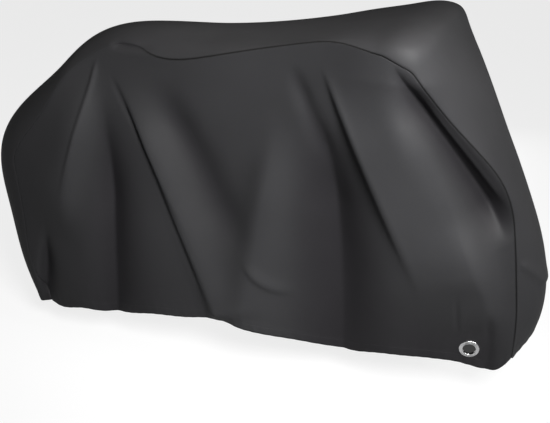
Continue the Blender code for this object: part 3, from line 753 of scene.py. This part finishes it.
side_pieces = {}
for side in SIGN:
    side_pieces[side] = side_panel(side)
    punch(side_pieces[side], side)

# %% [markdown]
# ## The spine panel
# One long strip. Its edges follow the same seams as the sides', so the three panels close, and
# across it the cloth is the arc from the first table. The folds of the sides run out in it soon
# after the seam.

# %% Lay the spine panel
SPINE_RUN = np.concatenate([REAR_TO * SEAM_SHARES,
                            (REAR_TO + (FRONT_FROM - REAR_TO) * HEM_SHARES)[1:],
                            (END + (FRONT_FROM - END) * SEAM_SHARES)[::-1][1:]])
ARC_STEPS, TRIAL_STEPS = 22, 40  # columns from the middle to a seam, and in the trial
MOST_TURN, RUN_OUT = 89.9, 3  # the arc's limit, and how fast the sides' folds run out
COVER_MIDDLE = np.array([0.55, 0.0, 0.60])  # inside, to tell which way is out
BAND_END, BAND_EASE = 0.05, 0.02  # the hem's band is gone this far from the edge
SEAM_STRIP, SEAM_STRIP_EASE = 0.004, 0.02  # the spine's own folds start this far from a seam


def spine_places(run, share, folds):
    """x, half width and z on the spine for runs along it and shares from the middle to the seam."""
    low = np.clip((run - FRONT_FROM) / (END - FRONT_FROM), 0.0, 1.0)
    line = on_line(run - FRONT_LIFT * low * np.cos(share * math.pi / 2) ** 2)
    turn, power = np.radians(np.minimum(line[:, 2], MOST_TURN)), 2 / line[:, 3]
    part = (1 - np.cos(turn * share) ** power) / (1 - np.cos(turn) ** power)
    x, z = (line[:, :2] + (line[:, 4:6] - line[:, :2]) * part[:, None]).T
    wide = body_width(x, z) + fold_height(x, z, folds) * share ** RUN_OUT
    return np.stack([x, wide * (np.sin(turn * share) / np.sin(turn)) ** power, z], axis=1)


def half_spine(sign, folds):
    """Half of the spine's grid, from the middle to a seam, with distances from the middle."""
    rows = len(SPINE_RUN)
    even = np.linspace(0.0, 1.0, TRIAL_STEPS)
    run, share = (a.ravel() for a in np.meshgrid(SPINE_RUN, even, indexing="ij"))
    trial = spine_places(run, share, folds).reshape(rows, TRIAL_STEPS, 3)
    arc = np.linalg.norm(np.diff(trial, axis=1), axis=2)
    reach = np.concatenate([np.zeros((rows, 1)), np.cumsum(arc, axis=1)], axis=1)
    full = reach[:, -1:]
    steps = np.concatenate([np.linspace(0.0, 1.0, ARC_STEPS + 1)[:-1] * (full - SEAM_LINES[-1]),
                            full - SEAM_LINES[::-1][None]], axis=1)
    share = np.stack([np.interp(s, r, even) for s, r in zip(steps, reach)])
    share[:, -1] = 1.0
    runs = np.repeat(SPINE_RUN, share.shape[1])
    places = spine_places(runs, share.ravel(), folds)
    places[:, 1] -= seam_groove((full - steps).ravel())
    places[:, 1] *= sign
    x, z = places[:, 0], places[:, 2]
    # Mask for painted shade in the troughs and painted highlight on the ridges.
    mask = painted_fold_shading(fold_height(x, z, folds) * share.ravel() ** RUN_OUT)
    return places.reshape(rows, -1, 3), steps, mask.reshape(rows, -1)


def spine_panel():
    right, right_out, right_mask = half_spine(-1, FOLDS_RIGHT)
    left, left_out, left_mask = half_spine(1, FOLDS_LEFT)
    places = np.concatenate([right[:, ::-1], left[:, 1:]], axis=1)
    out = np.concatenate([-right_out[:, ::-1], left_out[:, 1:]], axis=1)
    uv = np.stack([out, np.repeat(SPINE_RUN[:, None], out.shape[1], axis=1)], axis=2)
    mask = np.concatenate([right_mask[:, ::-1], left_mask[:, 1:]], axis=1)
    normal = unit(np.cross(np.gradient(places, axis=0), np.gradient(places, axis=1)))
    normal *= np.sign((normal * (places - COVER_MIDDLE)).sum(-1).mean())
    from_hem = np.minimum(SPINE_RUN, END - SPINE_RUN)[:, None] * np.ones_like(out)
    from_seam = np.minimum(out - out[:, :1], out[:, -1:] - out)
    lift = hem_lift(from_hem, out) * ramp((BAND_END - from_hem) / BAND_EASE)
    folds = fold_height(places[..., 0].ravel(), places[..., 2].ravel(), SPINE_FOLDS)
    lift += folds.reshape(lift.shape) * ramp((from_seam - SEAM_STRIP) / SEAM_STRIP_EASE)
    places = places + normal * lift[..., None]
    # Painted shade in the grooves of the seams.
    seam = seam_shade_mask(from_seam, places[..., 0])
    return grid_object("cover_spine", places - ORIGIN, uv, {"fold": mask, "seam": seam}, turned=True)


spine = spine_panel()
for piece in (spine, *side_pieces.values()):
    piece.data.materials.append(CLOTH_FACE)
    piece.data.materials.append(CLOTH_BACK)
    give_wall(piece)

# %% [markdown]
# ## Stitches
# A lockstitch shows as a row of short threads that end in the cloth. They repeat along a path,
# which is what Geometry Nodes are for: one small thread, set along a line drawn on the cloth.

# %% The stitch tree
def stitch_tree():
    tree = bpy.data.node_groups.new("stitches along a path", "GeometryNodeTree")
    tree.interface.new_socket("Path", in_out="INPUT", socket_type="NodeSocketGeometry")
    for label, value in (("Pitch", 0.005), ("Stitch length", 0.0036), ("Thread radius", 0.00035)):
        tree.interface.new_socket(label, in_out="INPUT", socket_type="NodeSocketFloat").default_value = value
    tree.interface.new_socket("Thread", in_out="INPUT", socket_type="NodeSocketMaterial")
    tree.interface.new_socket("Stitches", in_out="OUTPUT", socket_type="NodeSocketGeometry")
    node = tree.nodes.new
    given, put = node("NodeGroupInput"), node("NodeGroupOutput")
    line, spaced = node("GeometryNodeMeshToCurve"), node("GeometryNodeResampleCurve")
    ball, size = node("GeometryNodeMeshUVSphere"), node("ShaderNodeCombineXYZ")
    spaced.mode = "LENGTH"
    ball.inputs["Segments"].default_value, ball.inputs["Rings"].default_value = 6, 4
    ball.inputs["Radius"].default_value = 1.0
    tangent, turn = node("GeometryNodeInputTangent"), node("FunctionNodeAlignRotationToVector")
    turn.axis = "Z"
    half = node("ShaderNodeMath")
    half.operation, half.inputs[1].default_value = "MULTIPLY", 0.5
    put_on, real = node("GeometryNodeInstanceOnPoints"), node("GeometryNodeRealizeInstances")
    finish = node("GeometryNodeSetMaterial")
    for source, out, target, into in (
            (given, "Path", line, "Mesh"), (line, "Curve", spaced, "Curve"),
            (given, "Pitch", spaced, "Length"), (spaced, "Curve", put_on, "Points"),
            (ball, "Mesh", put_on, "Instance"), (tangent, 0, turn, "Vector"),
            (turn, 0, put_on, "Rotation"), (given, "Stitch length", half, 0),
            (half, 0, size, "Z"), (given, "Thread radius", size, "X"),
            (given, "Thread radius", size, "Y"), (size, 0, put_on, "Scale"),
            (put_on, 0, real, 0), (real, 0, finish, "Geometry"),
            (given, "Thread", finish, "Material"), (finish, 0, put, "Stitches")):
        tree.links.new(source.outputs[out], target.inputs[into])
    return tree


def sockets(modifier, **values):
    """Sets a modifier's inputs by the identifiers of the sockets with these names."""
    for item in modifier.node_group.interface.items_tree:
        if item.in_out == "INPUT" and item.name in values:
            modifier[item.identifier] = values[item.name]


STITCHES = stitch_tree()
print(STITCHES.name, "has", len(STITCHES.nodes), "nodes")

# %% [markdown]
# ## Where the stitches run
# Four rows on each side panel, just inside its seams and near the hem's upper edge. Each row is
# a line of points lifted onto the cloth's face, and the tree sets a thread every few millimetres.

# %% Draw the stitch lines and sew them
SEAM_STITCH, HEM_STITCH = 0.0045, 0.0205  # how far from the edge each row runs
STITCH_LIFT, ROW_POINTS = 0.0001, 520
ROW_START, ROW_END = 0.004, 0.996  # shares of an edge


def side_row(side, u, v):
    spots, _, out = side_surface(side, u, v)
    return stood_out(side, spots, out + STITCH_LIFT)


def stitch_rows():
    t = np.linspace(ROW_START, ROW_END, ROW_POINTS)
    still = np.ones_like(t)
    shares = [(t, (1 - SEAM_STITCH / PANEL_TALL) * still), (t, HEM_STITCH / HEM_TALL * still),
              (SEAM_STITCH / PANEL_WIDE * still, t), ((1 - SEAM_STITCH / FRONT_WIDE) * still, t)]
    return [side_row(side, u, v) for side in SIGN for u, v in shares]


def sew(name, rows, **sizes):
    mesh = bpy.data.meshes.new(name + "_path")
    points = np.concatenate(rows)
    start = np.cumsum([0] + [len(row) for row in rows])
    edges = [(k, k + 1) for a, b in zip(start[:-1], start[1:]) for k in range(a, b - 1)]
    mesh.from_pydata(points.tolist(), edges, [])
    path = in_scene(name + "_path", mesh)
    nodes = path.modifiers.new("stitches", "NODES")
    nodes.node_group = STITCHES
    sockets(nodes, Thread=THREAD, **sizes)
    bpy.context.view_layer.update()
    made = bpy.data.meshes.new_from_object(path.evaluated_get(bpy.context.evaluated_depsgraph_get()))
    path.modifiers.clear()
    bpy.data.objects.remove(path)
    made.name = name
    made.shade_smooth()
    print(name, len(made.polygons), "faces")
    return in_scene(name, made)


stitching = sew("seam_and_hem_stitches", stitch_rows(), Pitch=0.0056)

# %% [markdown]
# ## The eyelets
# Each is two turned parts pressed together: a front with a rounded flange and a barrel, and a
# washer behind the cloth. Both have the bore's axis, so a profile spun round it makes them.

# %% Turn the eyelets
# radius, height above the cloth's face
EYELET_PROFILE = [
    (0.018, -0.003), (0.018, 0.0016), (0.0182, 0.0028), (0.0188, 0.0038), (0.0197, 0.0043),
    (0.0207, 0.0041), (0.0216, 0.0034), (0.0226, 0.0027), (0.0236, 0.0026), (0.0245, 0.003),
    (0.0254, 0.0036), (0.0264, 0.0038), (0.0274, 0.0034), (0.0283, 0.0024), (0.0288, 0.0013),
    (0.029, 0.0005), (0.0289, 0.0002), (0.02, 0.0002), (0.02, -0.0018),
    (0.0274, -0.0018), (0.0276, -0.0021), (0.0274, -0.0026), (0.0262, -0.0032), (0.023, -0.0034),
    (0.0196, -0.0034), (0.0186, -0.0033),
]
EYELET_AROUND = 96


def eyelet(side):
    level, slope_x, slope_z = eyelet_plane(FOLDS[side])
    facing = Vector((-slope_x, SIGN[side], -slope_z)).normalized()
    centre = Vector((EYELET_X, SIGN[side] * level, EYELET_Z)) - Vector(ORIGIN)
    ring = bmesh.new()
    first = [ring.verts.new((r, 0.0, h)) for r, h in EYELET_PROFILE]
    edges = [ring.edges.new((a, b)) for a, b in zip(first, first[1:] + first[:1])]
    bmesh.ops.spin(ring, geom=first + edges, axis=(0, 0, 1), cent=(0, 0, 0), steps=EYELET_AROUND,
                   angle=2 * math.pi, use_merge=True)
    bmesh.ops.remove_doubles(ring, verts=ring.verts, dist=0.00001)
    bmesh.ops.recalc_face_normals(ring, faces=ring.faces)
    ring.transform(Matrix.Translation(centre) @ facing.to_track_quat("Z", "X").to_matrix().to_4x4())
    mesh = bpy.data.meshes.new("cover_eyelet_" + side)
    ring.to_mesh(mesh)
    ring.free()
    mesh.shade_smooth()
    mesh.materials.append(PLATED)
    print(mesh.name, len(mesh.polygons), "faces")
    return in_scene(mesh.name, mesh)


eyelets = {side: eyelet(side) for side in SIGN}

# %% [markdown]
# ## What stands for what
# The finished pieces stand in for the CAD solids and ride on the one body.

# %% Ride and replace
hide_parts("spine_panel")
for side, piece in side_pieces.items():
    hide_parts("side_panel_" + side, "eyelet_strip_" + side)
for side, piece in eyelets.items():
    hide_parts("eyelet_" + side)
for piece in (spine, stitching, *side_pieces.values(), *eyelets.values()):
    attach(piece, "root")

# %% [markdown]
# ## The floor
# A plain pale floor that fills the view. It glows where the camera sees it, and less in mirrors,
# so that it stays pale under a dark object. A long soft strip behind the cover is a painted shadow,
# darker where a cover on its bicycle would keep the light off; it shows through the bore.

# %% Lay the floor
# The strip is a painted shadow on the floor.
SHADE_STRIP = (-0.35, 1.01, 0.30)  # rear end, front end and middle line on the floor
SHADE_EDGE = (0.14, 0.08)  # how far from that line it starts, and is full
GLOW, GLOW_DROP = 0.80, 0.76  # how the floor glows, and what the strip takes off
PALE, PALE_DROP = 0.25, 0.235  # its colour, and what the strip takes off
MIRRORED = 0.30  # share of the glow in mirrors


def shade_mask(tree):
    """Painted shadow: 0 on the open floor and 1 in a long soft strip behind the cover."""
    place = tree.nodes.new("ShaderNodeTexCoord")
    split = tree.nodes.new("ShaderNodeSeparateXYZ")
    tree.links.new(place.outputs["Object"], split.inputs[0])
    low, high, middle = SHADE_STRIP
    along = math_node(tree, "MAXIMUM", math_node(tree, "SUBTRACT", low, split.outputs[0]),
                      math_node(tree, "SUBTRACT", split.outputs[0], high))
    along = math_node(tree, "MAXIMUM", along, 0.0)
    across = math_node(tree, "SUBTRACT", split.outputs[1], middle)
    squares = [math_node(tree, "MULTIPLY", way, way) for way in (along, across)]
    away = math_node(tree, "SQRT", math_node(tree, "ADD", *squares))
    part = tree.nodes.new("ShaderNodeMapRange")
    part.interpolation_type = "SMOOTHSTEP"
    part.inputs["From Min"].default_value, part.inputs["From Max"].default_value = SHADE_EDGE
    tree.links.new(away, part.inputs["Value"])
    return part.outputs[0]


def floor_material():
    made, tree, shader = principled("pale_floor", (PALE,) * 3, 0.9, 0.0, 0.1)
    glow, seen, both, mix = (tree.nodes.new("ShaderNode" + kind) for kind in
                             ("Emission", "LightPath", "AddShader", "MixShader"))
    shade = shade_mask(tree)
    for most, drop, socket in ((GLOW, GLOW_DROP, glow.inputs["Strength"]),
                               (PALE, PALE_DROP, shader.inputs["Base Color"])):
        taken = math_node(tree, "MULTIPLY", shade, drop)
        tree.links.new(math_node(tree, "SUBTRACT", most, taken), socket)
    tree.links.new(shader.outputs[0], both.inputs[0])
    tree.links.new(glow.outputs[0], both.inputs[1])
    mirrored = math_node(tree, "MULTIPLY", seen.outputs["Is Glossy Ray"], MIRRORED)
    tree.links.new(math_node(tree, "MAXIMUM", seen.outputs["Is Camera Ray"], mirrored), mix.inputs[0])
    tree.links.new(shader.outputs[0], mix.inputs[1])
    tree.links.new(both.outputs[0], mix.inputs[2])
    tree.links.new(mix.outputs[0], tree.nodes["Material Output"].inputs[0])
    return made


bpy.ops.mesh.primitive_plane_add(size=60, location=(0, 0, -ORIGIN[2]))
floor = bpy.context.object
floor.name = "floor"
floor.data.materials.append(floor_material())
print("floor %.3f m below the frame's origin" % ORIGIN[2])

# %% [markdown]
# ## Lamps
# The key stands in front on the right, with a narrow spread, so that the folds' front flanks are
# light. A second lamp lights the front end, a low one stands behind, and the room adds a little.

# %% Set the lights
WORLD_LIGHT = 0.05
# light, from, towards, size, spread in degrees, power in watts
LIGHTS = [
    ("key", (1.7, -2.0, 1.0), (0.5, 0.0, -0.30), (0.8, 0.8), 64, 21),
    ("side", (3.0, -0.6, 0.7), (0.8, 0.0, -0.1), (0.8, 1.0), 180, 26),
    ("back", (-0.3, 2.6, -0.75), (0.5, 0.0, -0.35), (1.4, 0.5), 180, 40),
]
for name, spot, target, size, spread, power in LIGHTS:
    lamp = bpy.data.lights.new(name, "AREA")
    lamp.shape, lamp.energy = "RECTANGLE", power
    lamp.size, lamp.size_y = size
    lamp.spread = math.radians(spread)
    holder = in_scene(name, lamp)
    holder.location = spot
    holder.rotation_euler = (Vector(target) - Vector(spot)).to_track_quat("-Z", "Y").to_euler()
world = bpy.data.worlds.new("pale_room")
world.use_nodes = True
room = world.node_tree.nodes["Background"].inputs
room["Color"].default_value, room["Strength"].default_value = (1, 1, 1, 1), WORLD_LIGHT
bpy.context.scene.world = world
bpy.context.scene.view_settings.view_transform = "Standard"
print(len(LIGHTS), "lights")
